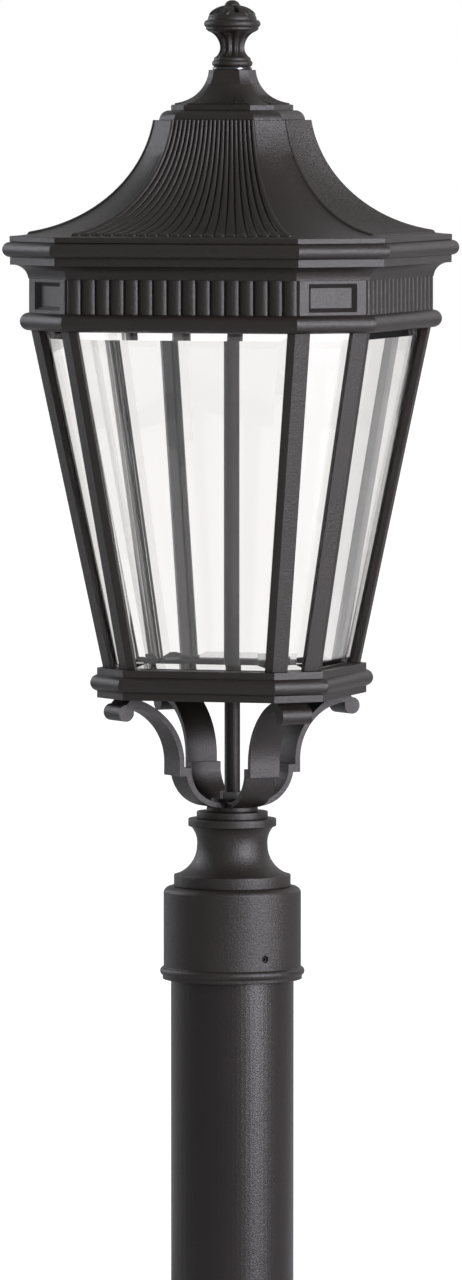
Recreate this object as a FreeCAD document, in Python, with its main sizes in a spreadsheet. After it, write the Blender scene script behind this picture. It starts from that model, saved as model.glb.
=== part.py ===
import FreeCAD, Part
import math
import os
import Sketcher
from FreeCAD import Rotation, Vector

# Post-top lantern on the upper end of its round post.
# Millimetres, +Z up, origin at the centre of the post section's foot.
# The plan of roof, crown and base is a square with cut corners: "half" sizes run from the axis
# to a wide face, and a narrow face lies at (half + half wide face) / sqrt(2) from the axis.

SIZES = {
    # post and fitter
    "post_radius": 38.1,
    "post_wall": 3.2,
    "post_exposed": 201.0,
    "fitter_depth": 51.0,
    "fitter_wall": 4.2,
    "fitter_gap": 0.3,
    "fitter_roof": 6.5,
    "fitter_shoulder": 3.5,
    "fitter_shoulder_inset": 4.4,
    "fitter_shoulder_radius": 4.5,
    "bead_size": 2.6,
    "bead_height": 7.6,
    "bead_step": 0.6,
    "wire_way_radius": 14.0,
    "screw_height": 15.0,
    "screw_radius": 2.05,
    "screw_gap": 0.05,
    "screw_length": 2.9,
    "socket_share": 0.55,
    # turned neck and the two discs
    "neck_height": 42.2,
    "neck_foot_inset": 6.4,
    "neck_foot_height": 7.4,
    "neck_foot_step": 1.0,
    "neck_waist_radius": 21.9,
    "neck_waist_height": 25.5,
    "neck_lip_radius": 27.3,
    "neck_lip_height": 4.9,
    "neck_lip_step": 1.5,
    "neck_lower_sweep": 19.0,
    "neck_upper_sweep": 15.0,
    "neck_wall": 5.5,
    "ring_disc_radius": 22.1,
    "ring_disc_height": 4.4,
    "hub_disc_radius": 15.9,
    "hub_disc_height": 3.1,
    # scroll arms
    "arm_height": 69.0,
    "arm_width": 20.5,
    "strap": 3.4,
    "arm_step_height": 20.3,
    "arm_shoulder": 6.7,
    "arm_lower_reach": 37.5,
    "arm_bowl_radius": 24.5,
    "arm_upper_reach": 42.4,
    "arm_sweep_bow": 0.6587,
    "arm_roll_inset": 6.23,
    "arm_knee_run": 0.14,
    "arm_knee_rise": 0.586,
    "arm_back_radius": 50.0,
    "arm_ledge": 1.6,
    "roll_radius": 5.2,
    "roll_drop": 8.5,
    "roll_root_drop": 2.8,
    "roll_root_width": 4.0,
    # base
    "base_margin": 3.2,
    "base_wide_margin": 2.0,
    "base_lip": 4.2,
    "base_torus": 10.1,
    "base_bulge": 5.2,
    "base_bore_inset": 11.4,
    "base_bore_wide_inset": 7.7,
    "pan_thickness": 3.0,
    "pan_margin": 6.0,
    # glass cage
    "cage_height": 208.2,
    "cage_bottom_half": 69.4,
    "cage_top_inset": 1.55,
    "cage_ratio": 0.67,
    "bar_wide_facet": 5.2,
    "bar_narrow_facet": 10.4,
    "bar_depth": 4.5,
    "glass_thickness": 4.0,
    "glass_edge": 1.2,
    "glass_bevel_share": 0.1268,
    "glass_end_bevel": 4.0,
    "glass_gap": 0.2,
    "glass_lap": 5.0,
    # crown
    "crown_half": 109.0,
    "crown_torus": 10.9,
    "frieze_height": 21.0,
    "reed_relief": 1.8,
    "reed_relief_spread": 0.9,
    "panel_width": 33.7,
    "panel_height": 17.6,
    "panel_depth": 2.7,
    "cyma_height": 8.4,
    "cyma_reach": 9.0,
    "fillet_height": 4.7,
    "fillet_reach": 10.3,
    "cornice_torus": 9.2,
    "cornice_bulge": 4.6,
    "cornice_reach": 10.8,
    "crown_wall": 10.5,
    "crown_ledge": 5.0,
    "ledge_height": 18.0,
    # roof
    "roof_ratio": 0.645,
    "roof_overhang": 10.6,
    "roof_lip": 3.7,
    "roof_rise": 70.7,
    "roof_top_half": 41.7,
    "roof_bow": 0.787,
    "roof_stretch": 1.1,
    "roof_wall": 3.0,
    "roof_rim": 19.6,
    "step_half": 39.5,
    "step_top_half": 34.6,
    "step_height": 6.1,
    "step_ease": 0.3,
    "cap_half": 33.0,
    "cap_lip": 3.4,
    "cap_rise": 21.5,
    "cap_top_half": 12.7,
    "cap_bow": 0.7768,
    # finial
    "washer_radius": 12.2,
    "washer_height": 1.6,
    "finial_height": 41.4,
    "finial_foot_radius": 11.4,
    "finial_foot_edge": 0.5,
    "finial_foot_height": 5.8,
    "finial_foot_sweep": 8.2,
    "finial_bead_radius": 2.1,
    "finial_bead_top": 4.3,
    "finial_waist_radius": 7.75,
    "finial_waist_height": 11.8,
    "finial_flare_radius": 15.5,
    "finial_flare_height": 22.5,
    "finial_flare_sweep": 11.2,
    "finial_lip_radius": 16.4,
    "finial_lip_height": 23.4,
    "finial_rim_foot_radius": 16.7,
    "finial_rim_foot": 24.3,
    "finial_rim_radius": 2.4,
    "finial_rim_top_radius": 16.1,
    "finial_rim_top": 29.0,
    "finial_dome_radius": 15.0,
    "finial_dome_ledge": 29.2,
    "finial_dome_foot": 30.6,
    "finial_dome_sweep": 14.0,
    "finial_dome_crest": 5.5,
    "finial_button_radius": 4.5,
    "finial_button_sweep": 4.9,
    "finial_button_base": 3.7,
    "finial_button_height": 3.0,
    "finial_tip": 0.6,
    "finial_bore_depth": 24.0,
    # stem and its nuts
    "stem_radius": 4.85,
    "stem_bore": 3.2,
    "stem_gap": 0.08,
    "stem_foot": 22.0,
    "stem_tip": 3.0,
    "nut_radius": 8.0,
    "nut_height": 4.0,
    "foot_washer_radius": 13.0,
    "foot_washer_height": 1.6,
    # light module hidden in the crown
    "gear_plate": 2.5,
    "gear_plate_gap": 0.3,
    "board_inset": 14.0,
    "board_bore": 22.0,
    "board_height": 1.6,
    "chip_size": 3.5,
    "chip_height": 0.8,
    "chip_inset": 22.0,
    "diffuser_inset": 16.5,
    "diffuser_bore": 12.0,
    "diffuser_height": 12.0,
    "diffuser_wall": 2.0,
    "driver_length": 100.0,
    "driver_depth": 34.0,
    "driver_height": 22.0,
    "driver_place": 42.0,
    # shared
    "corner_slope": 0.41421356,
    "arc_slack": 0.05,
    "overcut": 1.0,
}

doc = FreeCAD.newDocument("post_lantern")
sheet = doc.addObject("Spreadsheet::Sheet", "Sizes")
for row, (alias, value) in enumerate(SIZES.items(), start=1):
    sheet.set(f"A{row}", alias)
    sheet.set(f"B{row}", str(value))
    sheet.setAlias(f"B{row}", alias)

# sizes that follow from others, then heights above the foot of the post, each one worked out
# from the piece below it
FORMULAS = {
    "fitter_bore": "post_radius + fitter_gap",
    "fitter_radius": "fitter_bore + fitter_wall",
    "neck_foot_radius": "fitter_radius - neck_foot_inset",
    "base_half": "cage_bottom_half + base_margin",
    "base_wide": "cage_bottom_half * cage_ratio + base_wide_margin",
    "base_bore_half": "cage_bottom_half - base_bore_inset",
    "base_bore_wide": "cage_bottom_half * cage_ratio - base_bore_wide_inset",
    "arm_roll_place": "(base_half + base_wide) / sqrt(2) - arm_roll_inset",
    "arm_run": "arm_roll_place - roll_radius - arm_upper_reach",
    "arm_rise": "arm_height - arm_step_height - arm_shoulder",
    "arm_sweep_radius": "arm_sweep_bow * sqrt(arm_run ^ 2 + arm_rise ^ 2)",
    "glass_bevel": "glass_bevel_share * cage_bottom_half",
    "crown_wide": "crown_half * cage_ratio",
    "cage_top_half": "crown_half - cage_top_inset",
    "roof_half": "crown_half + roof_overhang",
    "roof_arc": "roof_bow * sqrt((roof_half - roof_top_half) ^ 2 + roof_rise ^ 2)",
    "cap_arc": "cap_bow * sqrt((cap_half - cap_top_half) ^ 2 + cap_rise ^ 2)",
    "diffuser_radius": "crown_half - crown_wall - diffuser_inset",
    "board_radius": "diffuser_radius - board_inset",
    "chip_ring": "board_radius - chip_inset",
    "fitter_foot": "post_exposed",
    "post_top": "fitter_foot + fitter_depth",
    "neck_foot": "post_top + fitter_roof",
    "neck_top": "neck_foot + neck_height",
    "hub_foot": "neck_top + ring_disc_height",
    "arm_foot": "hub_foot + hub_disc_height",
    "base_foot": "arm_foot + arm_height",
    "cage_foot": "base_foot + 2 * base_lip + base_torus",
    "crown_foot": "cage_foot + cage_height",
    "frieze_foot": "crown_foot + crown_torus",
    "cyma_foot": "frieze_foot + frieze_height",
    "fillet_foot": "cyma_foot + cyma_height",
    "cornice_foot": "fillet_foot + fillet_height",
    "roof_foot": "cornice_foot + cornice_torus",
    "step_foot": "roof_foot + roof_lip + roof_rise",
    "cap_foot": "step_foot + step_height",
    "washer_foot": "cap_foot + cap_lip + cap_rise",
    "finial_foot": "washer_foot + washer_height",
    "ledge_level": "crown_foot + ledge_height",
}
for row, (alias, formula) in enumerate(FORMULAS.items(), start=len(SIZES) + 1):
    sheet.set(f"A{row}", alias)
    sheet.set(f"B{row}", f"={formula}")
    sheet.setAlias(f"B{row}", alias)
doc.recompute()

NAMES = set(SIZES) | set(FORMULAS)
FULL_TURN = 360.0
SIDES = 4
ARM_ANGLES = [45.0 + 90.0 * side for side in range(SIDES)]
WIDE_ANGLES = [90.0 * side for side in range(SIDES)]
pieces = []


def bound(formula):
    """A formula in plain size names, with each name pointed at the sheet."""
    words = ""
    token = ""
    for letter in formula + " ":
        if letter.isalnum() or letter == "_":
            token += letter
            continue
        words += f"Sizes.{token}" if token in NAMES else token
        words += letter
        token = ""
    return words.strip()


def size(formula):
    """The present value of a formula in size names."""
    return float(sheet.evalExpression(bound(formula)))


def bind(thing, path, formula):
    thing.setExpression(path, bound(formula))


def keep(thing, label):
    """Marks an object as one sub-part of the lantern."""
    thing.Label = label
    pieces.append(thing)
    return thing


def draw(sketch, steps):
    """Draws a closed outline whose every corner is tied to the sheet.

    A step is (across, up), or (across, up, radius, turn) when the edge that arrives there is an
    arc: turn is 1 when the arc's centre lies on the left of the way there, and -1 on the right.
    """
    corners = [Vector(size(step[0]), size(step[1]), 0) for step in steps]
    ends = []
    for index, step in enumerate(steps):
        begin = corners[index - 1]
        finish = corners[index]
        if len(step) == 2:
            edge = sketch.addGeometry(Part.LineSegment(begin, finish))
            ends.append((edge, 1, 2))
            continue
        radius = size(step[2])
        turn = step[3]
        chord = finish - begin
        middle = (begin + finish) / 2
        rise = math.sqrt(max(radius ** 2 - (chord.Length / 2) ** 2, 0))
        left = Vector(-chord.y, chord.x, 0).normalize()
        centre = middle + left * rise * turn
        first, last = (begin, finish) if turn > 0 else (finish, begin)
        start_angle = math.atan2(first.y - centre.y, first.x - centre.x)
        end_angle = math.atan2(last.y - centre.y, last.x - centre.x)
        if end_angle <= start_angle:
            end_angle += 2 * math.pi
        circle = Part.Circle(centre, Vector(0, 0, 1), radius)
        edge = sketch.addGeometry(Part.ArcOfCircle(circle, start_angle, end_angle))
        ends.append((edge, 1, 2) if turn > 0 else (edge, 2, 1))
        name = f"radius{index}"
        sketch.addConstraint(Sketcher.Constraint("Radius", edge, radius))
        sketch.renameConstraint(sketch.ConstraintCount - 1, name)
        bind(sketch, f"Constraints.{name}", step[2])
    for index, step in enumerate(steps):
        edge, _, finish = ends[index]
        following, start, _ = ends[(index + 1) % len(steps)]
        sketch.addConstraint(Sketcher.Constraint("Coincident", edge, finish, following, start))
        for kind, formula, axis in (("DistanceX", step[0], -2), ("DistanceY", step[1], -1)):
            if formula == "0":
                sketch.addConstraint(Sketcher.Constraint("PointOnObject", edge, finish, axis))
                continue
            value = size(formula)
            name = f"{kind}{index}"
            sketch.addConstraint(Sketcher.Constraint(kind, -1, 1, edge, finish, value))
            sketch.renameConstraint(sketch.ConstraintCount - 1, name)
            bind(sketch, f"Constraints.{name}", formula)


def origin_plane(body, role):
    return next(item for item in body.Origin.OriginFeatures if item.Role == role)


def body_sketch(body, role, steps):
    sketch = body.newObject("Sketcher::SketchObject", body.Name + "_outline")
    sketch.AttachmentSupport = (origin_plane(body, role), [""])
    sketch.MapMode = "FlatFace"
    draw(sketch, steps)
    return sketch


def turned(label, steps, base="0"):
    """A piece turned on a lathe: its half outline spun about the upright axis."""
    body = doc.addObject("PartDesign::Body", label)
    sketch = body_sketch(body, "XZ_Plane", steps)
    spin = body.newObject("PartDesign::Revolution", label + "_spin")
    spin.Profile = sketch
    spin.ReferenceAxis = (sketch, ["V_Axis"])
    spin.Angle = FULL_TURN
    if base != "0":
        bind(body, "Placement.Base.z", base)
    return keep(body, label)


def tube(label, outer, inner, height, base):
    """An upright tube or ring that starts at a height above the post's foot."""
    steps = [(inner, "0"), (outer, "0"), (outer, height), (inner, height)]
    return turned(label, steps, base)


def slab_across(name, steps, angle):
    """One straight extrusion of a full, mirrored outline, facing the given side."""
    sketch = doc.addObject("Sketcher::SketchObject", name + "_outline")
    upright = Rotation(Vector(1, 0, 0), 90)
    around = Rotation(Vector(0, 0, 1), angle)
    sketch.Placement = FreeCAD.Placement(Vector(), around * upright)
    draw(sketch, steps)
    slab = doc.addObject("Part::Extrusion", name)
    slab.Base = sketch
    slab.DirMode = "Normal"
    slab.Solid = True
    slab.Symmetric = True
    bind(slab, "LengthFwd", "4 * roof_half")
    return slab


def eight_sided(name, steps, narrow_stretch="1"):
    """A solid whose every level is the square with cut corners.

    A step is (half, wide, up) or (half, wide, up, radius, turn), from the lowest corner upwards
    on the right-hand side. Four crossing slabs, two square and two diagonal, share that solid.
    An arc's radius is stretched on the narrow faces, which lean further where the plan grows.
    """
    slabs = []
    for angle in (0, 90, 45, -45):
        square = angle in (0, 90)
        right = []
        left = []
        arcs = [()]
        for step in steps:
            reach = step[0] if square else f"(({step[0]}) + ({step[1]})) / sqrt(2)"
            arc = ()
            if len(step) > 3:
                radius = step[3] if square else f"({step[3]}) * {narrow_stretch}"
                arc = (radius, step[4])
            arcs.append(arc)
            right.append((reach, step[2]) + arc)
        arcs.append(())
        for index, step in enumerate(right):
            left.insert(0, (f"-({step[0]})", step[1]) + arcs[index + 2])
        slabs.append(slab_across(f"{name}_slab{len(slabs)}", right + left, angle))
    common = doc.addObject("Part::MultiCommon", name)
    common.Shapes = slabs
    return common


def upright_hole(name, radius, foot, height):
    drill = doc.addObject("Part::Cylinder", name)
    bind(drill, "Radius", radius)
    bind(drill, "Height", height)
    bind(drill, "Placement.Base.z", foot)
    return drill


def cut_away(label, solid, *tools):
    """The solid less each tool in turn."""
    for index, tool in enumerate(tools):
        cut = doc.addObject("Part::Cut", f"{label}_cut{index}")
        cut.Base = solid
        cut.Tool = tool
        solid = cut
    return solid


# ---------------------------------------------------------------- post and fitter
tube("post", "post_radius", "post_radius - post_wall", "post_top", "0")


def fitter_outline():
    rim = "fitter_radius + bead_step"
    top = "fitter_depth + fitter_roof"
    return [
        ("fitter_bore", "0"),
        (rim, "0"),
        (rim, "bead_height - 2 * bead_size"),
        ("fitter_radius", "bead_height", "bead_size + 3 * arc_slack", 1),
        ("fitter_radius", f"{top} - fitter_shoulder"),
        ("fitter_radius - fitter_shoulder_inset", top, "fitter_shoulder_radius", 1),
        ("wire_way_radius", top),
        ("wire_way_radius", "fitter_depth"),
        ("fitter_bore", "fitter_depth"),
    ]


def post_fitter():
    """The cup that slips over the post, with three threaded holes for the set screws."""
    cup = turned("post_fitter", fitter_outline(), "fitter_foot")
    pieces.remove(cup)
    cup.Label = "post_fitter_cup"
    drills = []
    for angle in SCREW_ANGLES:
        drill = doc.addObject("Part::Cylinder", "screw_drill")
        bind(drill, "Radius", "screw_radius + screw_gap")
        bind(drill, "Height", "2 * fitter_wall")
        place_outward(drill, angle, "post_radius - overcut", "fitter_foot + screw_height")
        drills.append(drill)
    keep(cut_away("post_fitter_body", cup, *drills), "post_fitter")


def place_outward(thing, angle, reach, level):
    """Lays a piece's own +Z along a level line that leaves the axis at this angle."""
    turn = math.radians(angle)
    outward = Vector(math.cos(turn), math.sin(turn), 0)
    thing.Placement = FreeCAD.Placement(Vector(), Rotation(Vector(0, 0, 1), outward))
    bind(thing, "Placement.Base.x", f"({reach}) * {math.cos(turn):.9f}")
    bind(thing, "Placement.Base.y", f"({reach}) * {math.sin(turn):.9f}")
    bind(thing, "Placement.Base.z", level)


def set_screw(index, angle):
    """A headless screw that bears on the post, with a hexagon socket in its outer end."""
    shank = doc.addObject("Part::Cylinder", "screw_shank")
    bind(shank, "Radius", "screw_radius")
    bind(shank, "Height", "screw_length")
    socket = doc.addObject("Part::Prism", "screw_socket")
    socket.Polygon = 6
    bind(socket, "Circumradius", "screw_radius * socket_share")
    bind(socket, "Height", "screw_length")
    place_outward(shank, angle, "post_radius", "fitter_foot + screw_height")
    place_outward(socket, angle, "post_radius + screw_length / 2", "fitter_foot + screw_height")
    keep(cut_away("set_screw", shank, socket), f"set_screw_{index}")


SCREW_ANGLES = [-45.0, 75.0, 195.0]
post_fitter()
for index, angle in enumerate(SCREW_ANGLES, start=1):
    set_screw(index, angle)

# ---------------------------------------------------------------- neck and discs
turned("neck_casting", [
    ("neck_foot_radius - neck_wall", "0"),
    ("neck_foot_radius", "0"),
    ("neck_foot_radius", "neck_foot_height"),
    ("neck_foot_radius - neck_foot_step", "neck_foot_height"),
    ("neck_waist_radius", "neck_waist_height", "neck_lower_sweep", -1),
    ("neck_lip_radius - neck_lip_step", "neck_height - neck_lip_height", "neck_upper_sweep", -1),
    ("neck_lip_radius", "neck_height - neck_lip_height"),
    ("neck_lip_radius", "neck_height"),
    ("wire_way_radius", "neck_height"),
    ("wire_way_radius", "neck_waist_height"),
], "neck_foot")
stem_hole = "stem_radius + stem_gap"
tube("ring_disc", "ring_disc_radius", stem_hole, "ring_disc_height", "neck_top")
tube("hub_disc", "hub_disc_radius", stem_hole, "hub_disc_height", "hub_foot")

# ---------------------------------------------------------------- scroll arms
boss = doc.addObject("Part::Box", "hub_boss_block")
for path in ("Length", "Width"):
    bind(boss, path, "arm_width")
bind(boss, "Height", "strap")
boss.Placement.Rotation = Rotation(Vector(0, 0, 1), 45)
bind(boss, "Placement.Base.y", "-arm_width / sqrt(2)")
bind(boss, "Placement.Base.z", "arm_foot")
hole = upright_hole("hub_boss_hole", stem_hole, "arm_foot - overcut", "strap + 2 * overcut")
keep(cut_away("hub_boss_body", boss, hole), "hub_boss")


def arm_outline():
    """The strap seen from the side: a quarter bowl, a step, then a rising sweep to its roll."""
    start = "arm_width / 2"
    bowl = "arm_lower_reach - arm_bowl_radius"
    bowl_arc = "arm_bowl_radius + 8 * arc_slack"
    shoulder = "arm_step_height + arm_shoulder"
    ledge = "arm_step_height + strap + arm_ledge"
    roll_height = "arm_height - roll_drop"
    roll_top = f"{roll_height} + roll_radius"
    roll_left = "arm_roll_place - roll_radius"
    root = f"{roll_left} + roll_root_width / 2"
    return [
        (start, "0"),
        (bowl, "0"),
        ("arm_lower_reach", "arm_step_height", bowl_arc, 1),
        ("arm_upper_reach", "arm_step_height"),
        ("arm_upper_reach", shoulder),
        (roll_left, f"{roll_top} - roll_root_drop", "arm_sweep_radius", -1),
        (roll_left, roll_height),
        ("arm_roll_place", f"{roll_height} - roll_radius", "roll_radius", 1),
        ("arm_roll_place + roll_radius", roll_height, "roll_radius", 1),
        ("arm_roll_place", roll_top, "roll_radius", 1),
        (root, "arm_height"),
        (f"{root} - roll_root_width", "arm_height"),
        ("arm_upper_reach + arm_knee_run * arm_run", f"{shoulder} + arm_knee_rise * arm_rise",
         "arm_back_radius", 1),
        ("arm_upper_reach - strap", shoulder, "arm_sweep_radius + strap", 1),
        ("arm_upper_reach - strap", ledge),
        ("arm_lower_reach - strap", ledge),
        ("arm_lower_reach - strap", "arm_step_height"),
        (bowl, "strap", f"{bowl_arc} - strap", -1),
        (start, "strap"),
    ]


for index, angle in enumerate(ARM_ANGLES, start=1):
    arm = doc.addObject("PartDesign::Body", f"scroll_arm_{index}")
    pad = arm.newObject("PartDesign::Pad", f"scroll_arm_{index}_strap")
    pad.Profile = body_sketch(arm, "XZ_Plane", arm_outline())
    pad.Midplane = True
    bind(pad, "Length", "arm_width")
    arm.Placement.Rotation = Rotation(Vector(0, 0, 1), angle)
    bind(arm, "Placement.Base.z", "arm_foot")
    keep(arm, f"scroll_arm_{index}")

# ---------------------------------------------------------------- base
base_block = eight_sided("base_block", [
    ("base_half", "base_wide", "base_foot"),
    ("base_half", "base_wide", "base_foot + base_lip"),
    ("base_half", "base_wide", "base_foot + base_lip + base_torus", "base_bulge", 1),
    ("base_half", "base_wide", "cage_foot"),
])
base_bore = eight_sided("base_bore", [
    ("base_bore_half", "base_bore_wide", "base_foot - overcut"),
    ("base_bore_half", "base_bore_wide", "cage_foot + overcut"),
])
rebate_half = "base_bore_half + pan_margin"
rebate_wide = "base_bore_wide + pan_margin * corner_slope"
pan_rebate = eight_sided("pan_rebate", [
    (rebate_half, rebate_wide, "base_foot - overcut"),
    (rebate_half, rebate_wide, "base_foot + pan_thickness"),
])
keep(cut_away("base_ring_body", base_block, base_bore, pan_rebate), "base_ring")
pan_plate = eight_sided("pan_plate", [
    (rebate_half, rebate_wide, "base_foot"),
    (rebate_half, rebate_wide, "base_foot + pan_thickness"),
])
pan_hole = upright_hole("pan_hole", stem_hole, "base_foot - overcut", "pan_thickness + 2 * overcut")
keep(cut_away("base_pan_body", pan_plate, pan_hole), "base_pan")

# ---------------------------------------------------------------- glass cage
SLOPE = "((cage_top_half - cage_bottom_half) / cage_height)"


def bar_section(name, half, level, side, hand):
    """The bar's chevron at one end: a facet on the wide face and one on the narrow face."""
    across = f"({half}) * cage_ratio"
    root = "sqrt(0.5)"
    depth = "bar_depth"
    nook = f"({depth}) * corner_slope"
    outline = [
        (f"({half})", f"{across}"),
        (f"({half}) - bar_narrow_facet * {root}", f"{across} + bar_narrow_facet * {root}"),
        (f"({half}) - (bar_narrow_facet + {depth}) * {root}",
         f"{across} + (bar_narrow_facet - {depth}) * {root}"),
        (f"({half}) - {depth}", f"{across} - {nook}"),
        (f"({half}) - {depth}", f"{across} - bar_wide_facet"),
        (f"({half})", f"{across} - bar_wide_facet"),
    ]
    if hand < 0:
        outline = [(reach, f"-({sideways})") for reach, sideways in reversed(outline)]
    sketch = doc.addObject("Sketcher::SketchObject", name)
    sketch.Placement.Rotation = Rotation(Vector(0, 0, 1), side)
    bind(sketch, "Placement.Base.z", level)
    draw(sketch, outline)
    return sketch


def ruled(name, sections):
    loft = doc.addObject("Part::Loft", name)
    loft.Sections = sections
    loft.Solid = True
    loft.Ruled = True
    return loft


count = 0
for side in WIDE_ANGLES:
    for hand in (1, -1):
        count += 1
        name = f"cage_bar_{count}"
        foot = bar_section(f"{name}_foot", "cage_bottom_half", "cage_foot", side, hand)
        head = bar_section(f"{name}_head", "cage_top_half", "crown_foot", side, hand)
        keep(ruled(f"{name}_body", [foot, head]), name)


def pane_section(name, trim, end_trim, depth, side, narrow):
    """One flat trapezium of a pane, drawn in the pane's own plane.

    Across runs along the face and up runs up its slope, from where the face meets the base.
    """
    reach = "((1 + cage_ratio) / sqrt(2))" if narrow else "1"
    spread = "((1 - cage_ratio) / sqrt(2))" if narrow else "cage_ratio"
    lean = f"({SLOPE} * {reach})"
    slant = f"sqrt(1 + {lean} ^ 2)"
    lap = "(bar_narrow_facet - glass_lap)" if narrow else "(bar_depth * 0.6)"
    edge = f"({lap} + ({trim}))"
    low = f"({end_trim} + glass_gap - (bar_depth + glass_gap) * {lean})"
    sink = f"(bar_depth + glass_gap + glass_thickness) * {lean}"
    high = f"(cage_height * {slant} - {end_trim} - glass_gap - {sink})"
    foot_half = f"(cage_bottom_half * {spread} - {edge} + {low} * {SLOPE} * {spread} / {slant})"
    head_half = f"(cage_bottom_half * {spread} - {edge} + {high} * {SLOPE} * {spread} / {slant})"
    sketch = doc.addObject("Sketcher::SketchObject", name)
    angle = side + 45 if narrow else side
    lean_value = size(lean)
    upward = Vector(lean_value, 0, 1).normalize()
    sideways = Vector(0, 1, 0)
    outward = sideways.cross(upward)
    frame = Rotation(sideways, upward, outward, "ZXY")
    sketch.Placement.Rotation = Rotation(Vector(0, 0, 1), angle) * frame
    turn = math.radians(angle)
    inward = f"((bar_depth + glass_gap + ({depth})) / {slant})"
    start = f"(cage_bottom_half * {reach} - {inward})"
    bind(sketch, "Placement.Base.x", f"{start} * {math.cos(turn):.9f}")
    bind(sketch, "Placement.Base.y", f"{start} * {math.sin(turn):.9f}")
    bind(sketch, "Placement.Base.z", f"cage_foot + {inward} * {lean}")
    draw(sketch, [
        (f"-{foot_half}", low),
        (foot_half, low),
        (head_half, high),
        (f"-{head_half}", high),
    ])
    return sketch


def glass_pane(label, side, narrow):
    """A pane with a wide bevel up both sides of its outer face and a short one at its ends."""
    rim = "glass_thickness - glass_edge"
    inner = pane_section(f"{label}_inner", "0", "0", "glass_thickness", side, narrow)
    edge = pane_section(f"{label}_edge", "0", "0", rim, side, narrow)
    front = pane_section(f"{label}_front", "glass_bevel", "glass_end_bevel", "0", side, narrow)
    keep(ruled(f"{label}_body", [inner, edge, front]), label)


for index, side in enumerate(WIDE_ANGLES, start=1):
    glass_pane(f"wide_glass_{index}", side, False)
    glass_pane(f"narrow_glass_{index}", side, True)

# ---------------------------------------------------------------- crown
def sunk_panel(angle):
    """The cutter of one narrow frieze face's panel, a rectangle with sides sloped at 45 degrees."""
    cutter = doc.addObject("Part::Wedge", "panel_cutter")
    proud = "(panel_depth + overcut)"
    for axis, span in (("X", "panel_width"), ("Z", "panel_height")):
        bind(cutter, f"{axis}min", f"-({span} / 2 - panel_depth)")
        bind(cutter, f"{axis}max", f"{span} / 2 - panel_depth")
        bind(cutter, f"{axis}2min", f"-({span} / 2 - panel_depth + {proud})")
        bind(cutter, f"{axis}2max", f"{span} / 2 - panel_depth + {proud}")
    cutter.Ymin = 0
    bind(cutter, "Ymax", proud)
    turn = math.radians(angle)
    outward = Vector(math.cos(turn), math.sin(turn), 0)
    upward = Vector(0, 0, 1)
    cutter.Placement.Rotation = Rotation(outward.cross(upward), outward, upward, "YZX")
    reach = "((crown_half + crown_wide) / sqrt(2) - panel_depth)"
    bind(cutter, "Placement.Base.x", f"{reach} * {math.cos(turn):.9f}")
    bind(cutter, "Placement.Base.y", f"{reach} * {math.sin(turn):.9f}")
    bind(cutter, "Placement.Base.z", "frieze_foot + frieze_height / 2")
    return cutter


frieze_half = "crown_half - reed_relief"
frieze_wide = "crown_wide + reed_relief_spread * reed_relief"
crown_block = eight_sided("crown_block", [
    ("crown_half", "crown_wide", "crown_foot"),
    ("crown_half", "crown_wide", "frieze_foot", "crown_torus / 2 + arc_slack", 1),
    (frieze_half, frieze_wide, "frieze_foot"),
    (frieze_half, frieze_wide, "cyma_foot"),
    ("crown_half", "crown_wide", "cyma_foot"),
    ("crown_half + cyma_reach", "crown_wide + cyma_reach * corner_slope", "fillet_foot",
     "cyma_reach", -1),
    ("crown_half + fillet_reach", "crown_wide + fillet_reach * corner_slope", "fillet_foot"),
    ("crown_half + fillet_reach", "crown_wide + fillet_reach * corner_slope", "cornice_foot"),
    ("crown_half + cornice_reach", "crown_wide + cornice_reach * corner_slope", "cornice_foot"),
    ("crown_half + cornice_reach", "crown_wide + cornice_reach * corner_slope", "roof_foot",
     "cornice_bulge + arc_slack", 1),
])
bore_half = "crown_half - crown_wall"
bore_wide = "crown_wide - crown_wall * corner_slope"
crown_bore = eight_sided("crown_bore", [
    (bore_half, bore_wide, "crown_foot - overcut"),
    (bore_half, bore_wide, "roof_foot + overcut"),
])
ledge_half = f"{bore_half} + crown_ledge"
ledge_wide = f"{bore_wide} + crown_ledge * corner_slope"
crown_ledge = eight_sided("crown_ledge_cut", [
    (ledge_half, ledge_wide, "ledge_level"),
    (ledge_half, ledge_wide, "roof_foot + overcut"),
])
panels = [sunk_panel(angle) for angle in ARM_ANGLES]
keep(cut_away("crown_body", crown_block, crown_bore, crown_ledge, *panels), "crown_ring")

# ---------------------------------------------------------------- roof, step and cap
roof_bottom = "roof_foot + roof_lip"
roof_block = eight_sided("roof_block", [
    ("roof_half", "roof_half * roof_ratio", "roof_foot"),
    ("roof_half", "roof_half * roof_ratio", roof_bottom),
    ("roof_top_half", "roof_top_half * roof_ratio", "step_foot", "roof_arc", -1),
], "roof_stretch")
rim_half = "(roof_half - roof_rim)"
roof_hollow = eight_sided("roof_hollow", [
    (rim_half, f"{rim_half} * roof_ratio", "roof_foot - overcut"),
    (rim_half, f"{rim_half} * roof_ratio", "roof_foot + roof_lip + overcut / 2"),
    ("roof_top_half - roof_wall", "(roof_top_half - roof_wall) * roof_ratio",
     "step_foot - roof_wall", "roof_arc + roof_wall", -1),
], "roof_stretch")
roof_hole = upright_hole("roof_hole", stem_hole, "step_foot - 2 * roof_wall", "4 * roof_wall")
keep(cut_away("roof_body", roof_block, roof_hollow, roof_hole), "roof_shell")

step_block = eight_sided("step_block", [
    ("step_half", "step_half * roof_ratio", "step_foot"),
    ("step_top_half", "step_top_half * roof_ratio", "cap_foot", "step_height + step_ease", 1),
])
step_hole = upright_hole("step_hole", stem_hole, "step_foot - overcut", "step_height + 2 * overcut")
keep(cut_away("step_body", step_block, step_hole), "roof_step")

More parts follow.
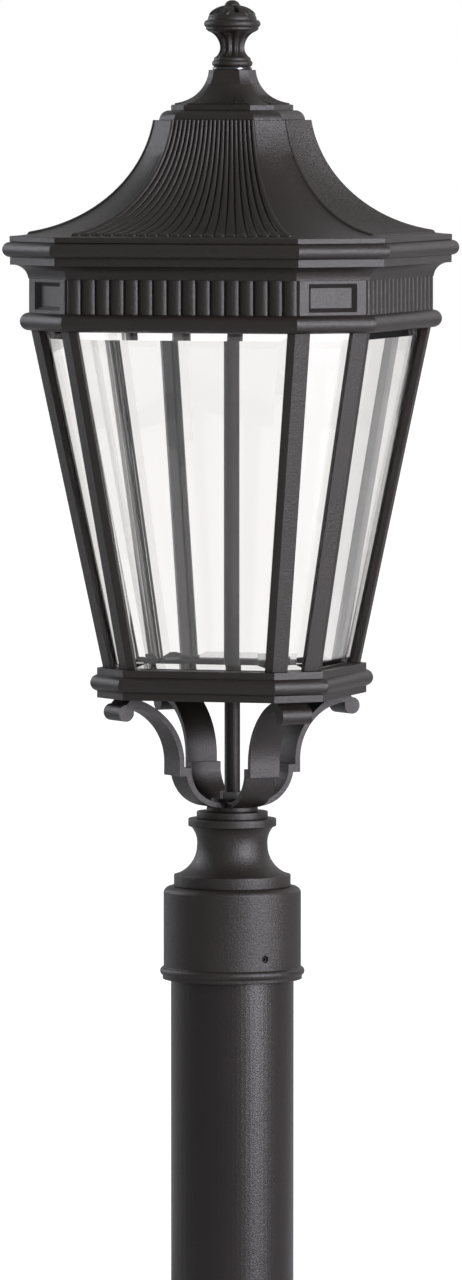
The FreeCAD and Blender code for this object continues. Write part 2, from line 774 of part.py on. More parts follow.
cap_block = eight_sided("cap_block", [
    ("cap_half", "cap_half * roof_ratio", "cap_foot"),
    ("cap_half", "cap_half * roof_ratio", "cap_foot + cap_lip"),
    ("cap_top_half", "cap_top_half * roof_ratio", "washer_foot", "cap_arc", -1),
], "roof_stretch")
cap_hole = upright_hole("cap_hole", stem_hole, "cap_foot - overcut",
                        "cap_lip + cap_rise + 2 * overcut")
keep(cut_away("cap_body", cap_block, cap_hole), "cupola_cap")

# ---------------------------------------------------------------- finial
tube("finial_washer", "washer_radius", stem_hole, "washer_height", "washer_foot")
turned("finial", [
    (stem_hole, "0"),
    ("finial_foot_radius", "0"),
    ("finial_foot_radius", "finial_foot_edge"),
    ("finial_foot_radius", "finial_bead_top", "finial_bead_radius", 1),
    ("finial_foot_radius", "finial_foot_height"),
    ("finial_waist_radius", "finial_waist_height", "finial_foot_sweep", -1),
    ("finial_flare_radius", "finial_flare_height", "finial_flare_sweep", -1),
    ("finial_lip_radius", "finial_lip_height"),
    ("finial_rim_foot_radius", "finial_rim_foot"),
    ("finial_rim_top_radius", "finial_rim_top", "finial_rim_radius", 1),
    ("finial_dome_radius", "finial_dome_ledge"),
    ("finial_dome_radius", "finial_dome_foot"),
    ("finial_dome_crest", "finial_height - finial_button_base", "finial_dome_sweep", 1),
    ("finial_button_radius", "finial_height - finial_button_height"),
    ("finial_tip", "finial_height", "finial_button_sweep", 1),
    ("0", "finial_height"),
    ("0", "finial_bore_depth"),
    (stem_hole, "finial_bore_depth"),
], "finial_foot")

# ---------------------------------------------------------------- stem and its nuts
tube("stem", "stem_radius", "stem_bore",
     "finial_foot + finial_bore_depth - stem_tip - arm_foot + stem_foot", "arm_foot - stem_foot")


def hex_nut(label, base):
    body = doc.addObject("Part::Prism", label + "_hexagon")
    body.Polygon = 6
    bind(body, "Circumradius", "nut_radius")
    bind(body, "Height", "nut_height")
    bind(body, "Placement.Base.z", base)
    bore = upright_hole(label + "_bore", "stem_radius", base, "nut_height")
    keep(cut_away(label + "_body", body, bore), label)


washer_level = "arm_foot + strap"
tube("foot_washer", "foot_washer_radius", "stem_radius", "foot_washer_height", washer_level)
hex_nut("foot_nut", f"{washer_level} + foot_washer_height")
hex_nut("neck_nut", "neck_top - nut_height")
hex_nut("base_nut", "base_foot + pan_thickness")
hex_nut("gear_nut_upper", "ledge_level + gear_plate")
hex_nut("gear_nut_lower", "ledge_level - nut_height")

# ---------------------------------------------------------------- light module in the crown
gear_half = f"{ledge_half} - gear_plate_gap"
gear_wide = f"{ledge_wide} - gear_plate_gap * corner_slope"
gear_block = eight_sided("gear_block", [
    (gear_half, gear_wide, "ledge_level"),
    (gear_half, gear_wide, "ledge_level + gear_plate"),
])
gear_hole = upright_hole("gear_hole", "stem_radius", "ledge_level - overcut",
                         "gear_plate + 2 * overcut")
keep(cut_away("gear_plate_body", gear_block, gear_hole), "gear_plate")
tube("led_board", "board_radius", "board_bore", "board_height", "ledge_level - board_height")

CHIPS = 16
chip_list = []
for index in range(CHIPS):
    chip = doc.addObject("Part::Box", "led_chip")
    for path in ("Length", "Width"):
        bind(chip, path, "chip_size")
    bind(chip, "Height", "chip_height")
    turn = 2 * math.pi * index / CHIPS
    bind(chip, "Placement.Base.x", f"chip_ring * {math.cos(turn):.9f} - chip_size / 2")
    bind(chip, "Placement.Base.y", f"chip_ring * {math.sin(turn):.9f} - chip_size / 2")
    bind(chip, "Placement.Base.z", "ledge_level - board_height - chip_height")
    chip_list.append(chip)
chips = doc.addObject("Part::Compound", "led_chip_group")
chips.Links = chip_list
keep(chips, "led_chips")

turned("diffuser", [
    ("diffuser_radius - diffuser_wall", "0"),
    ("diffuser_radius", "0"),
    ("diffuser_radius", "-diffuser_height"),
    ("diffuser_bore", "-diffuser_height"),
    ("diffuser_bore", "diffuser_wall - diffuser_height"),
    ("diffuser_radius - diffuser_wall", "diffuser_wall - diffuser_height"),
], "ledge_level")

driver = doc.addObject("Part::Box", "driver_box")
bind(driver, "Length", "driver_length")
bind(driver, "Width", "driver_depth")
bind(driver, "Height", "driver_height")
bind(driver, "Placement.Base.x", "-driver_length / 2")
bind(driver, "Placement.Base.y", "driver_place - driver_depth / 2")
bind(driver, "Placement.Base.z", "ledge_level + gear_plate")
keep(driver, "led_driver")

# ---------------------------------------------------------------- checks and files
doc.recompute()
faults = []
for thing in doc.Objects:
    if "Invalid" in thing.State or "Error" in thing.State:
        faults.append(f"{thing.Label}: {thing.State}")
for piece in pieces:
    if piece.Shape.isNull() or not piece.Shape.isValid() or not piece.Shape.Solids:
        faults.append(f"{piece.Label}: no valid solid")
if faults:
    raise RuntimeError("\n".join(faults))

os.makedirs("parts", exist_ok=True)
for piece in pieces:
    piece.Shape.exportStep(f"parts/{piece.Label}.step")
print(len(pieces), "sub-parts written")
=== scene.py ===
"""Looks of a post-top street lantern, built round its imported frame. Lengths are in millimetres
in the sizes below and in metres in every mesh."""
import math

import bpy
from mathutils import Matrix, Vector


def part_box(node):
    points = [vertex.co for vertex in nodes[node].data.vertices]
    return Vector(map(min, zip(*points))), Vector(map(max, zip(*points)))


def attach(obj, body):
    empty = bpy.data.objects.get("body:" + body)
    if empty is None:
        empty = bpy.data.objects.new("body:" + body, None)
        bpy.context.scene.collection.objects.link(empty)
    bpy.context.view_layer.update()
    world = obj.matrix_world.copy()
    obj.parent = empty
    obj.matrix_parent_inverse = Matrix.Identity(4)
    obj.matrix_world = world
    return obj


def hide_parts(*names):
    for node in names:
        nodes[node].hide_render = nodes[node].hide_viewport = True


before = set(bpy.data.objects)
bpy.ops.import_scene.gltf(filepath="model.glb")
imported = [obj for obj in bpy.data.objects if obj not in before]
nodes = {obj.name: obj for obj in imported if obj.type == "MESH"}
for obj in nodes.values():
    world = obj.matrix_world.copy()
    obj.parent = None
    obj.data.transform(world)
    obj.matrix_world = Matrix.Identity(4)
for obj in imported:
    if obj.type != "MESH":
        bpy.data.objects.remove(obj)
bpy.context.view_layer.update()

MM = 0.001

# ------------------------------------------------------------------ sizes the frame gives


def level(node, end):
    """The lowest (0) or highest (1) height of a CAD node, in millimetres."""
    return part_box(node)[end][2] / MM


def reach(node):
    """How far a CAD node runs out along +X, in millimetres."""
    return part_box(node)[1][0] / MM


ROOF_FOOT = level("roof_shell", 0)
ROOF_TOP = level("roof_shell", 1)
ROOF_HALF = reach("roof_shell")
ROOF_RATIO = 0.645
ROOF_LIP = 3.7
ROOF_ARC = 82.8
ROOF_TOP_HALF = 41.7
ROOF_WALL = 2.6
ROOF_STEPS = 24
ROOF_REEDS = 20
ROOF_REED_START = 2
ROOF_REED_PROUD = 1.7
CAP_FOOT = level("cupola_cap", 0)
CAP_TOP = level("cupola_cap", 1)
CAP_HALF = reach("cupola_cap")
CAP_LIP = 3.4
CAP_ARC = 22.97
CAP_TOP_HALF = 12.7
CAP_STEPS = 20
CAP_REEDS = 20
CAP_REED_END = 11
CAP_REED_PROUD = 0.8
CAP_REED_SINK = 0.9
CROWN_TORUS = 10.9
FRIEZE_FOOT = level("crown_ring", 0) + CROWN_TORUS
FRIEZE_HEIGHT = 21.0
FRIEZE_HALF = 107.2
FRIEZE_WIDE = 73.1
FRIEZE_REEDS = 16
FRIEZE_REED_PROUD = 2.2
STEM_HOLE = 5.2
AROUND = 144
SLIVER = 0.01
FLUTES = 12
LEAVES = 6
FINIAL_FOOT = level("finial", 0)
FINIAL_HEIGHT = level("finial", 1) - FINIAL_FOOT


# ------------------------------------------------------------------ shader building
class Wire:
    """An output socket that sums and products can be written on."""

    def __init__(self, tree, socket):
        self.tree = tree
        self.socket = socket

    def maths(self, operation, first, second):
        node = self.tree.nodes.new("ShaderNodeMath")
        node.operation = operation
        for slot, value in zip(node.inputs, (first, second)):
            if isinstance(value, Wire):
                self.tree.links.new(value.socket, slot)
            else:
                slot.default_value = value
        return Wire(self.tree, node.outputs[0])

    def __add__(self, other):
        return self.maths("ADD", self, other)

    def __radd__(self, other):
        return self.maths("ADD", other, self)

    def __sub__(self, other):
        return self.maths("SUBTRACT", self, other)

    def __rsub__(self, other):
        return self.maths("SUBTRACT", other, self)

    def __mul__(self, other):
        return self.maths("MULTIPLY", self, other)

    def __rmul__(self, other):
        return self.maths("MULTIPLY", other, self)


class Finish:
    """One material: a Principled shader and the nodes that vary it over the surface."""

    def __init__(self, name, **constants):
        self.material = bpy.data.materials.new(name)
        self.material.use_nodes = True
        self.tree = self.material.node_tree
        self.shader = next(n for n in self.tree.nodes if n.type == "BSDF_PRINCIPLED")
        for socket, value in constants.items():
            self.shader.inputs[socket.replace("_", " ")].default_value = value

    def add(self, kind, output=0, **inputs):
        """Adds a node, with the values or links of its sockets."""
        node = self.tree.nodes.new("ShaderNode" + kind)
        for name, value in inputs.items():
            slot = node.inputs[name.replace("_", " ")]
            if isinstance(value, Wire):
                self.tree.links.new(value.socket, slot)
            else:
                slot.default_value = value
        return Wire(self.tree, node.outputs[output])

    def feed(self, **links):
        for name, wire in links.items():
            self.tree.links.new(wire.socket, self.shader.inputs[name.replace("_", " ")])

    def place(self):
        """Where a point of the surface is, in the piece's own metres."""
        return self.add("TexCoord", output=3)

    def noise(self, scale, detail=2.0, roughness=0.5):
        return self.add("TexNoise", Vector=self.place(), Scale=scale, Detail=detail,
                        Roughness=roughness)

    def blend(self, factor, first, second):
        """A colour that runs from first to second as the factor goes from 0 to 1."""
        ramp = self.add("ValToRGB", Fac=factor)
        for stop, colour in zip(ramp.socket.node.color_ramp.elements, (first, second)):
            stop.color = colour
        return ramp


def rgb(red, green, blue):
    return (red, green, blue, 1.0)


def cast_coat(name, dark, light, gloss):
    """Powder coat on a casting: a fine sandy skin over faint waves, a little duller in patches."""
    coat = Finish(name, Specular_IOR_Level=0.34)
    sand = coat.noise(720.0, 4.0, 0.75)
    waves = coat.noise(120.0, 2.0)
    patches = coat.noise(22.0, 3.0)
    coat.feed(Base_Color=coat.blend(patches * 0.5 + sand * 0.5, dark, light))
    coat.feed(Roughness=gloss + sand * 0.45 + patches * 0.06)
    skin = coat.add("Bump", Strength=0.5, Distance=0.0007, Height=sand + waves * 0.3)
    coat.feed(Normal=skin)
    return coat.material


def smooth_coat(name, dark, light, gloss):
    """The same paint on a drawn tube: smoother, with an orange-peel skin."""
    coat = Finish(name, Specular_IOR_Level=0.34)
    peel = coat.noise(1100.0, 3.0, 0.7)
    patches = coat.noise(12.0, 3.0)
    coat.feed(Base_Color=coat.blend(patches, dark, light))
    coat.feed(Roughness=gloss + peel * 0.08 + patches * 0.06)
    coat.feed(Normal=coat.add("Bump", Strength=0.35, Distance=0.0005, Height=peel))
    return coat.material


def bright_metal(name, colour, gloss):
    """Plated or machined metal with fine turned lines and a cloudy gloss."""
    metal = Finish(name, Metallic=1.0)
    grain = metal.noise(900.0, 2.0)
    clouds = metal.noise(60.0, 3.0)
    dull = tuple(0.75 * part for part in colour[:3]) + (1.0,)
    metal.feed(Base_Color=metal.blend(clouds, dull, colour))
    metal.feed(Roughness=gloss + grain * 0.1 + clouds * 0.08)
    metal.feed(Normal=metal.add("Bump", Strength=0.1, Distance=0.0002, Height=grain))
    return metal.material


def moulded(name, dark, light, gloss, **constants):
    """Moulded plastic or lacquer with a soft, fine grain."""
    plastic = Finish(name, **constants)
    grain = plastic.noise(700.0, 2.0)
    clouds = plastic.noise(45.0, 2.0)
    plastic.feed(Base_Color=plastic.blend(clouds, dark, light))
    plastic.feed(Roughness=gloss + grain * 0.1)
    plastic.feed(Normal=plastic.add("Bump", Strength=0.08, Distance=0.0002, Height=grain))
    return plastic.material


def pane_glass(name):
    """Clear float glass, very slightly warm, with the slight roughness that handling leaves."""
    glass = Finish(name, Transmission_Weight=1.0, IOR=1.47)
    film = glass.noise(30.0, 3.0)
    glass.feed(Base_Color=glass.blend(film, rgb(0.945, 0.932, 0.926), rgb(0.965, 0.953, 0.948)))
    glass.feed(Roughness=film * 0.012)
    return glass.material


IRON = cast_coat("sand_textured_coat",
                 rgb(0.0056, 0.0038, 0.0032), rgb(0.0150, 0.0112, 0.0100), 0.17)
TUBE = smooth_coat("satin_post_coat",
                   rgb(0.0052, 0.0034, 0.0034), rgb(0.0096, 0.0066, 0.0068), 0.25)
MATT = cast_coat("matt_inside_coat", rgb(0.0100, 0.0082, 0.0078), rgb(0.0150, 0.0125, 0.0120), 0.62)
OXIDE = bright_metal("black_oxide_steel", rgb(0.020, 0.019, 0.019), 0.45)
GLASS = pane_glass("bevelled_glass")
PLATED = bright_metal("dark_plated_steel", rgb(0.16, 0.155, 0.155), 0.32)
NECKLACE = bright_metal("polished_dark_washer", rgb(0.10, 0.10, 0.11), 0.16)
ALUMINIUM = bright_metal("mill_aluminium", rgb(0.72, 0.73, 0.74), 0.34)
BOARD = moulded("white_board_lacquer", rgb(0.72, 0.73, 0.72), rgb(0.82, 0.83, 0.82), 0.38)
PHOSPHOR = moulded("led_phosphor", rgb(0.75, 0.58, 0.10), rgb(0.85, 0.70, 0.16), 0.30)
OPAL = moulded("opal_acrylic", rgb(0.80, 0.80, 0.77), rgb(0.86, 0.86, 0.83), 0.30,
               Subsurface_Weight=0.2)
CASE = moulded("driver_case", rgb(0.74, 0.74, 0.70), rgb(0.80, 0.80, 0.77), 0.45)


# ------------------------------------------------------------------ modelling
def pick(piece):
    bpy.ops.object.select_all(action="DESELECT")
    piece.select_set(True)
    bpy.context.view_layer.objects.active = piece


def named(name):
    """Leaves edit mode, with the piece under work called by its own name."""
    bpy.ops.object.mode_set(mode="OBJECT")
    piece = bpy.context.object
    piece.name = name
    piece.data.name = name
    return piece


def applied():
    bpy.ops.object.transform_apply(location=True, rotation=True, scale=True)
    bpy.ops.object.mode_set(mode="EDIT")
    bpy.ops.mesh.select_all(action="SELECT")


def smooth(piece, angle=35.0):
    pick(piece)
    bpy.ops.object.shade_smooth_by_angle(angle=math.radians(angle))


def closed(piece, distance=0.004):
    """Merges points that meet, and turns every face outwards."""
    pick(piece)
    bpy.ops.object.mode_set(mode="EDIT")
    bpy.ops.mesh.select_all(action="SELECT")
    bpy.ops.mesh.remove_doubles(threshold=distance * MM)
    bpy.ops.mesh.normals_make_consistent(inside=False)
    bpy.ops.object.mode_set(mode="OBJECT")


def finish_piece(piece, material, body, slot, *replaced):
    piece.data.materials.clear()
    piece.data.materials.append(material)
    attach(piece, body)
    if replaced:
        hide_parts(*replaced)
    return piece


def join(name, pieces):
    bpy.ops.object.select_all(action="DESELECT")
    for piece in pieces:
        piece.select_set(True)
    bpy.context.view_layer.objects.active = pieces[0]
    bpy.ops.object.join()
    return named(name)


def four_round(piece):
    """The piece and three copies, a quarter turn apart round the lantern's axis."""
    group = [piece]
    for quarter in (1, 2, 3):
        copy = piece.copy()
        copy.data = piece.data.copy()
        copy.data.transform(Matrix.Rotation(math.radians(90.0 * quarter), 4, "Z"))
        bpy.context.collection.objects.link(copy)
        group.append(copy)
    return group


def sweep(start, end, radius, steps):
    """A hollow curve's centre and its points from start to end, as (reach, height) pairs.

    The centre lies on the outer, upper side, as it does for a bell-shaped roof.
    """
    first = Vector(start)
    chord = Vector(end) - first
    rise = math.sqrt(radius ** 2 - (chord.length / 2) ** 2)
    centre = first + chord / 2 + Vector((chord.y, -chord.x)).normalized() * rise
    begin = math.atan2(first.y - centre.y, first.x - centre.x)
    stop = math.atan2(end[1] - centre.y, end[0] - centre.x)
    turn = (stop - begin + math.pi) % (2 * math.pi) - math.pi
    points = []
    for step in range(steps + 1):
        angle = begin + turn * step / steps
        points.append((centre.x + radius * math.cos(angle), centre.y + radius * math.sin(angle)))
    return centre, turn, points


def bulge(start, end, radius, steps):
    """Points of a swelling curve after its start, as (reach, height) pairs."""
    middle = Vector(start) + Vector(end)
    chord = Vector(end) - Vector(start)
    rise = math.sqrt(max(radius ** 2 - (chord.length / 2) ** 2, 0.0))
    centre = middle / 2 + Vector((-chord.y, chord.x)).normalized() * rise
    begin = math.atan2(start[1] - centre.y, start[0] - centre.x)
    stop = math.atan2(end[1] - centre.y, end[0] - centre.x)
    turn = (stop - begin) % (2 * math.pi)
    angles = [begin + turn * step / steps for step in range(1, steps + 1)]
    return [(centre.x + radius * math.cos(a), centre.y + radius * math.sin(a)) for a in angles]


def raised(levels):
    """Extrudes what is selected from level to level, each a (reach, height) pair."""
    for (old_reach, old_height), (reach_here, height) in zip(levels, levels[1:]):
        bpy.ops.mesh.extrude_region_move(
            TRANSFORM_OT_translate={"value": (0.0, 0.0, (height - old_height) * MM)})
        grow = reach_here / old_reach
        bpy.ops.transform.resize(value=(grow, grow, 1.0), center_override=(0.0, 0.0, height * MM))


def eight_sided(name, levels):
    """A square outline with cut corners, drawn out level by level until it closes on itself."""
    bpy.ops.object.select_all(action="DESELECT")
    half, height = levels[0]
    bpy.ops.mesh.primitive_plane_add(size=2 * half * MM, location=(0.0, 0.0, height * MM))
    applied()
    bpy.ops.mesh.bevel(offset=half * (1.0 - ROOF_RATIO) * MM, segments=1, affect="VERTICES",
                       clamp_overlap=False)
    bpy.ops.mesh.delete(type="ONLY_FACE")
    bpy.ops.mesh.select_all(action="SELECT")
    raised(levels)
    piece = named(name)
    closed(piece)
    return piece


def reed_ends(count, half_width, place, proud, turn, sides):
    """A row of oval faces, one for each reed, set across the foot of a sweep along Y."""
    bpy.ops.object.select_all(action="DESELECT")
    pitch = 2 * half_width / count
    bpy.ops.mesh.primitive_circle_add(
        vertices=sides, radius=MM, fill_type="NGON",
        location=(place[0] * MM, (pitch / 2 - half_width) * MM, place[1] * MM),
        rotation=(0.0, turn, 0.0))
    bpy.context.object.scale = (proud, pitch * 0.49, 1.0)
    applied()
    for _ in range(count - 1):
        bpy.ops.mesh.duplicate_move(TRANSFORM_OT_translate={"value": (0.0, pitch * MM, 0.0)})
    bpy.ops.mesh.select_all(action="SELECT")


def reeds_along(name, count, half_width, centre, turn, points, proud, sink=0.0):
    """Half-round reeds laid up a hollow face, all narrowing together towards the axis.

    sink is how far they dive into the face by their upper ends, for reeds that fade out.
    """
    along = Vector(points[1]) - Vector(points[0])
    reed_ends(count, half_width, points[0], proud, math.atan2(along.x, along.y), 14)
    step_turn = turn / (len(points) - 1)
    pivot = (centre.x * MM, 0.0, centre.y * MM)
    for (old_reach, _), (reach_here, height) in zip(points, points[1:]):
        bpy.ops.mesh.extrude_region_move(TRANSFORM_OT_translate={"value": (0.0, 0.0, 0.0)})
        bpy.ops.transform.rotate(value=step_turn, orient_axis="Y", center_override=pivot)
        bpy.ops.transform.resize(value=(1.0, reach_here / old_reach, 1.0),
                                 center_override=(0.0, 0.0, 0.0))
        dive = (Vector((reach_here, height)) - centre).normalized() * sink / (len(points) - 1)
        bpy.ops.transform.translate(value=(dive.x * MM, 0.0, dive.y * MM))
    row = named(name)
    closed(row)
    return row


def rounded_feet(row, foot, length):
    """Rounds the lower ends of a row of reeds with two insets that stand out."""
    pick(row)
    bpy.ops.object.mode_set(mode="EDIT")
    bpy.ops.mesh.select_mode(type="FACE")
    bpy.ops.mesh.select_all(action="DESELECT")
    bpy.ops.object.mode_set(mode="OBJECT")
    for polygon in row.data.polygons:
        polygon.select = len(polygon.vertices) > 4 and polygon.center.z / MM < foot
    bpy.ops.object.mode_set(mode="EDIT")
    for width, depth in ((0.12, 0.55), (0.3, 0.35), (0.4, 0.12)):
        bpy.ops.mesh.inset(thickness=width * length * MM, depth=depth * length * MM,
                           use_individual=True)
    bpy.ops.mesh.select_mode(type="VERT")
    bpy.ops.object.mode_set(mode="OBJECT")


# ------------------------------------------------------------------ roof and cap
def reeded_roof():
    """The bell-shaped roof: a thin shell with a row of reeds up each wide face."""
    lip = ROOF_FOOT + ROOF_LIP
    centre, turn, outside = sweep((ROOF_HALF - 1.2, lip), (ROOF_TOP_HALF, ROOF_TOP),
                                  ROOF_ARC, ROOF_STEPS)
    ceiling = ROOF_TOP - ROOF_WALL
    inside = []
    for reach_here, height in outside:
        outward = (Vector((reach_here, height)) - centre).normalized() * ROOF_WALL
        if ROOF_FOOT + 0.4 < height + outward.y < ceiling - 0.4:
            inside.append((reach_here + outward.x, height + outward.y))
    levels = [(STEM_HOLE, ROOF_TOP), (STEM_HOLE, ceiling), (inside[-1][0] - 0.2, ceiling)]
    levels += inside[::-1]
    levels += [(inside[0][0] + 1.0, ROOF_FOOT), (ROOF_HALF - 0.4, ROOF_FOOT)]
    levels += [(ROOF_HALF, ROOF_FOOT + 0.4), (ROOF_HALF, lip - 0.35), (ROOF_HALF - 0.35, lip)]
    levels += outside
    levels += [(STEM_HOLE, ROOF_TOP)]
    shell = eight_sided("roof_skin", levels)
    first = ROOF_REED_START
    row = reeds_along("roof_reed_row", ROOF_REEDS, outside[first][0] * ROOF_RATIO, centre,
                      turn * (ROOF_STEPS - first) / ROOF_STEPS, outside[first:],
                      ROOF_REED_PROUD)
    rounded_feet(row, outside[first][1] + 2.5, 1.9)
    roof = join("reeded_roof", [shell] + four_round(row))
    smooth(roof, 40.0)
    finish_piece(roof, IRON, "roof", "lantern_coat", "roof_shell")


def reeded_cap():
    """The small cupola, whose fine reeds sink into it half way up."""
    lip = CAP_FOOT + CAP_LIP
    centre, turn, outside = sweep((CAP_HALF - 0.5, lip), (CAP_TOP_HALF, CAP_TOP), CAP_ARC,
                                  CAP_STEPS)
    levels = [(STEM_HOLE, CAP_FOOT), (CAP_HALF - 0.2, CAP_FOOT), (CAP_HALF, CAP_FOOT + 0.2)]
    levels += [(CAP_HALF, lip - 0.25), (CAP_HALF - 0.25, lip)]
    levels += outside
    levels += [(STEM_HOLE, CAP_TOP), (STEM_HOLE, CAP_FOOT)]
    body = eight_sided("cap_body", levels)
    last = CAP_REED_END
    row = reeds_along("cap_reed_row", CAP_REEDS, outside[1][0] * ROOF_RATIO, centre,
                      turn * (last - 1) / CAP_STEPS, outside[1:last + 1],
                      CAP_REED_PROUD, CAP_REED_SINK)
    cap = join("reeded_cap", [body] + four_round(row))
    smooth(cap, 40.0)
    finish_piece(cap, IRON, "roof", "lantern_coat", "cupola_cap")


# ------------------------------------------------------------------ frieze
def frieze_reeds():
    """Sixteen upright half-round reeds on each wide face of the crown."""
    reed_ends(FRIEZE_REEDS, FRIEZE_WIDE, (FRIEZE_HALF, FRIEZE_FOOT), FRIEZE_REED_PROUD,
              0.0, 18)
    bpy.ops.mesh.extrude_region_move(
        TRANSFORM_OT_translate={"value": (0.0, 0.0, FRIEZE_HEIGHT * MM)})
    row = named("frieze_reed_row")
    closed(row)
    band = join("frieze_reeds", four_round(row))
    smooth(band, 40.0)
    finish_piece(band, IRON, "lantern", "lantern_coat")


# ------------------------------------------------------------------ finial
def pressed(piece, chosen, grow=1.0, lift=0.0):
    """Scales the chosen points towards or away from the axis, and lifts them."""
    pick(piece)
    for vertex in piece.data.vertices:
        angle = math.degrees(math.atan2(vertex.co.y, vertex.co.x)) % 360.0
        up = vertex.co.z / MM - FINIAL_FOOT
        outside = math.hypot(vertex.co.x, vertex.co.y) / MM > STEM_HOLE or up > 30.0
        vertex.select = outside and chosen(angle, up)
    bpy.ops.object.mode_set(mode="EDIT")
    if grow != 1.0:
        bpy.ops.transform.resize(value=(grow, grow, 1.0), center_override=(0.0, 0.0, 0.0))
    if lift:
        bpy.ops.transform.translate(value=(0.0, 0.0, lift * MM))
    bpy.ops.mesh.select_all(action="DESELECT")
    bpy.ops.object.mode_set(mode="OBJECT")


def carved_finial():
    """The turned finial: a fluted waist, a rolled rim and a dome of ribs and pointed leaves."""
    top = FINIAL_HEIGHT
    outline = [(STEM_HOLE - 0.2, 22.0), (STEM_HOLE - 0.2, 0.0), (11.3, 0.0), (11.4, 0.5)]
    outline += bulge((11.4, 0.5), (11.4, 4.3), 2.1, 8)
    outline += [(11.5, 4.9), (11.2, 5.8)]
    outline += sweep((11.2, 5.8), (7.75, 11.8), 8.2, 8)[2][1:]
    outline += sweep((7.75, 11.8), (15.4, 22.3), 11.2, 14)[2][1:]
    outline += [(16.2, 23.2), (16.4, 23.9), (16.2, 24.5)]
    outline += bulge((16.2, 24.6), (16.0, 29.0), 2.42, 10)
    outline += [(15.1, 29.3), (15.0, 30.8)]
    outline += bulge((15.0, 30.8), (5.5, 37.9), 14.0, 16)
    outline += [(4.7, 38.2), (4.7, 38.6)]
    outline += bulge((4.7, 38.6), (0.5, top), 4.9, 8)
    bpy.ops.object.select_all(action="DESELECT")
    levels = [(radius, height + FINIAL_FOOT) for radius, height in outline]
    bpy.ops.mesh.primitive_circle_add(vertices=AROUND, radius=levels[0][0] * MM,
                                      fill_type="NGON", location=(0, 0, levels[0][1] * MM))
    applied()
    raised(levels)
    finial = named("carved_finial")
    closed(finial, 0.001)
    cell = 360.0 / AROUND
    flute = 360.0 / FLUTES
    for low, high in ((6.5, 22.8), (7.6, 21.2), (9.0, 19.0)):
        for column in range(1, AROUND // FLUTES):
            shape = 0.5 - 0.5 * math.cos(2 * math.pi * column / (AROUND // FLUTES))
            pressed(finial, lambda angle, up: low < up < high
                    and abs(angle % flute - column * cell) < 0.4 * cell, 1.0 - 0.062 * shape)
    for leaf in range(LEAVES):
        middle = 360.0 / LEAVES * (leaf + 0.5)

        def off(angle):
            return abs((angle - middle + 180.0) % 360.0 - 180.0)
        pressed(finial, lambda angle, up: 32.6 < up < 38.05
                and off(angle) < 22.0 * ((up - 31.8) / 6.0) ** 0.8, 1.07)
        pressed(finial, lambda angle, up: 33.4 < up < 38.05
                and off(angle) < 0.6 * cell, 0.94)
        for rib in range(3):
            turn = 360.0 / LEAVES / 2 - 5.0 + 5.0 * rib
            pressed(finial, lambda angle, up: 33.6 < up < 38.05
                    and abs(off(angle) - turn) < 0.6 * cell, 0.93)
    smooth(finial, 60.0)
    finish_piece(finial, IRON, "finial", "lantern_coat", "finial")


# ------------------------------------------------------------------ the other pieces
def dressed(node, material, body, slot, bevel=0.0):
    """A CAD node's own shape with its arcs shaded smooth and its edges eased."""
    piece = nodes[node].copy()
    piece.data = nodes[node].data.copy()
    piece.name = node + "_finished"
    piece.data.name = piece.name
    bpy.context.collection.objects.link(piece)
    closed(piece)
    if bevel:
        ease = piece.modifiers.new("eased_edges", "BEVEL")
        ease.width = bevel * MM
        ease.segments = 2
        ease.limit_method = "ANGLE"
        ease.angle_limit = math.radians(35.0)
        ease.use_clamp_overlap = True
        pick(piece)
        bpy.ops.object.modifier_apply(modifier=ease.name)
        bpy.ops.object.mode_set(mode="EDIT")
        bpy.ops.mesh.select_all(action="SELECT")
        bpy.ops.mesh.dissolve_degenerate(threshold=SLIVER * MM)
        bpy.ops.object.mode_set(mode="OBJECT")
    smooth(piece)
    even = piece.modifiers.new("even_shading", "WEIGHTED_NORMAL")
    even.keep_sharp = True
    bpy.ops.object.modifier_apply(modifier=even.name)
    return finish_piece(piece, material, body, slot, node)


def dressed_castings():
    round_names = ["post_fitter", "neck_casting", "ring_disc", "hub_disc"]
    for node in round_names:
        dressed(node, IRON, "lantern", "lantern_coat", 0.5)
    for node in ["hub_boss", "base_ring", "crown_ring", "stem"]:
        dressed(node, IRON, "lantern", "lantern_coat", 0.25)
    dressed("base_pan", MATT, "lantern", "lantern_coat", 0.25)
    for index in range(1, 5):
        dressed(f"scroll_arm_{index}", IRON, "lantern", "lantern_coat", 0.55)
    for index in range(1, 9):
        dressed(f"cage_bar_{index}", IRON, "lantern", "lantern_coat", 0.35)
    dressed("roof_step", IRON, "roof", "lantern_coat", 0.3)
    dressed("finial_washer", NECKLACE, "roof", "washer_metal", 0.4)
    dressed("post", TUBE, "lantern", "post_coat")


def plain_nodes():
    """CAD nodes whose own mesh is right, each with its finish."""
    finishes = {
        PLATED: ["foot_nut", "neck_nut", "base_nut", "gear_nut_upper", "gear_nut_lower"],
        OXIDE: ["set_screw_1", "set_screw_2", "set_screw_3"],
        IRON: ["foot_washer"],
        ALUMINIUM: ["gear_plate"],
        BOARD: ["led_board"],
        PHOSPHOR: ["led_chips"],
        OPAL: ["diffuser"],
        CASE: ["led_driver"],
        GLASS: [f"{kind}_glass_{index}" for kind in ("wide", "narrow") for index in range(1, 5)],
    }
    for material, names in finishes.items():
        for name in names:
            piece = nodes[name]
            piece.data.materials.clear()
            piece.data.materials.append(material)


# ------------------------------------------------------------------ studio
ROOM_LIGHT = 0.48
BOX_DISTANCE = 2.6
BOX_TINT = (0.93, 0.92, 1.0)
FLOOR_GLOW = 0.76
CAMERA_TURN = 16.63
CAMERA_DISTANCE = 5.99727
CAMERA_HEIGHT = 0.762
CAMERA_PITCH = 3.348
CAMERA_LENS = 272.94
CAMERA_SHIFT = -0.001
AIM_HEIGHT = 0.5


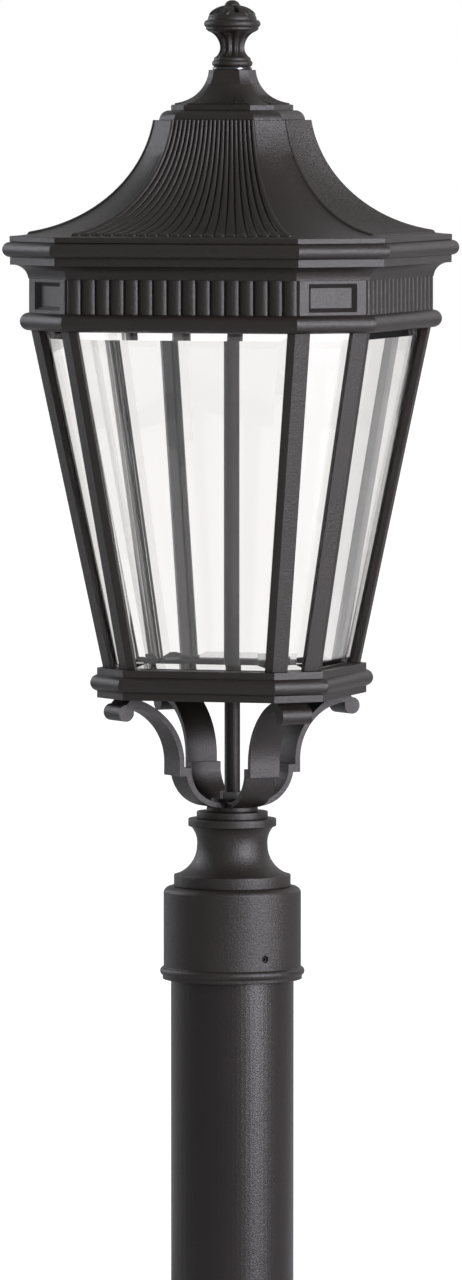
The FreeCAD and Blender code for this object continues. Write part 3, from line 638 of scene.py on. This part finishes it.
def seen_directly(tree):
    """1 for a ray that comes straight from the eye or through glass, and 0 for the rest."""
    paths = tree.nodes.new("ShaderNodeLightPath")
    direct = Wire(tree, paths.outputs["Is Camera Ray"])
    return direct.maths("MAXIMUM", direct, Wire(tree, paths.outputs["Is Transmission Ray"]))


def studio():
    """A pale floor that runs into a white room, which lights the lantern less than it shows."""
    bpy.ops.object.select_all(action="DESELECT")
    bpy.ops.mesh.primitive_plane_add(size=40.0, location=(0, 0, 0))
    floor = bpy.context.object
    floor.name = "floor"
    paper = Finish("pale_floor", Roughness=0.9, Emission_Strength=1.0)
    pulp = paper.noise(2.0)
    paper.feed(Base_Color=paper.blend(pulp, rgb(0.54, 0.54, 0.54), rgb(0.56, 0.56, 0.56)))
    glow = seen_directly(paper.tree) * FLOOR_GLOW
    paper.feed(Emission_Color=glow)
    floor.data.materials.append(paper.material)

    world = bpy.data.worlds.new("soft_white_room")
    bpy.context.scene.world = world
    world.use_nodes = True
    background = world.node_tree.nodes["Background"]
    background.inputs["Color"].default_value = rgb(1.0, 1.0, 1.0)
    strength = ROOM_LIGHT + seen_directly(world.node_tree) * (1.0 - ROOM_LIGHT)
    world.node_tree.links.new(strength.socket, background.inputs["Strength"])

    soft_box("right_front_box", angle=47.0, height=1.0, width=0.85, tall=1.6, power=160.0)
    soft_box("left_back_box", angle=-126.0, height=1.2, width=1.0, tall=1.4, power=24.0)
    soft_box("right_back_box", angle=144.0, height=1.2, width=1.0, tall=1.4, power=4.0)


def soft_box(name, angle, height, width, tall, power):
    """A soft light that faces the lantern; angle is measured from the camera, right positive."""
    light = bpy.data.lights.new(name, "AREA")
    light.shape = "RECTANGLE"
    light.size = width
    light.size_y = tall
    light.energy = power
    light.color = BOX_TINT
    lamp = bpy.data.objects.new(name, light)
    turn = math.radians(CAMERA_TURN + angle)
    lamp.location = (BOX_DISTANCE * math.sin(turn), -BOX_DISTANCE * math.cos(turn), height)
    aim = Vector((0.0, 0.0, AIM_HEIGHT)) - lamp.location
    lamp.rotation_euler = aim.to_track_quat("-Z", "Y").to_euler()
    lamp.visible_camera = False
    lamp.visible_transmission = False
    bpy.context.collection.objects.link(lamp)


def camera():
    data = bpy.data.cameras.new("camera")
    data.sensor_fit = "VERTICAL"
    data.sensor_height = 36.0
    data.lens = CAMERA_LENS
    data.shift_x = CAMERA_SHIFT
    view = bpy.data.objects.new("camera", data)
    turn = math.radians(CAMERA_TURN)
    view.location = (CAMERA_DISTANCE * math.sin(turn), -CAMERA_DISTANCE * math.cos(turn),
                     CAMERA_HEIGHT)
    view.rotation_euler = (math.radians(90.0 - CAMERA_PITCH), 0.0, turn)
    bpy.context.collection.objects.link(view)
    bpy.context.scene.camera = view
    bpy.context.scene.view_settings.view_transform = "Standard"


reeded_roof()
reeded_cap()
frieze_reeds()
carved_finial()
dressed_castings()
plain_nodes()
studio()
camera()
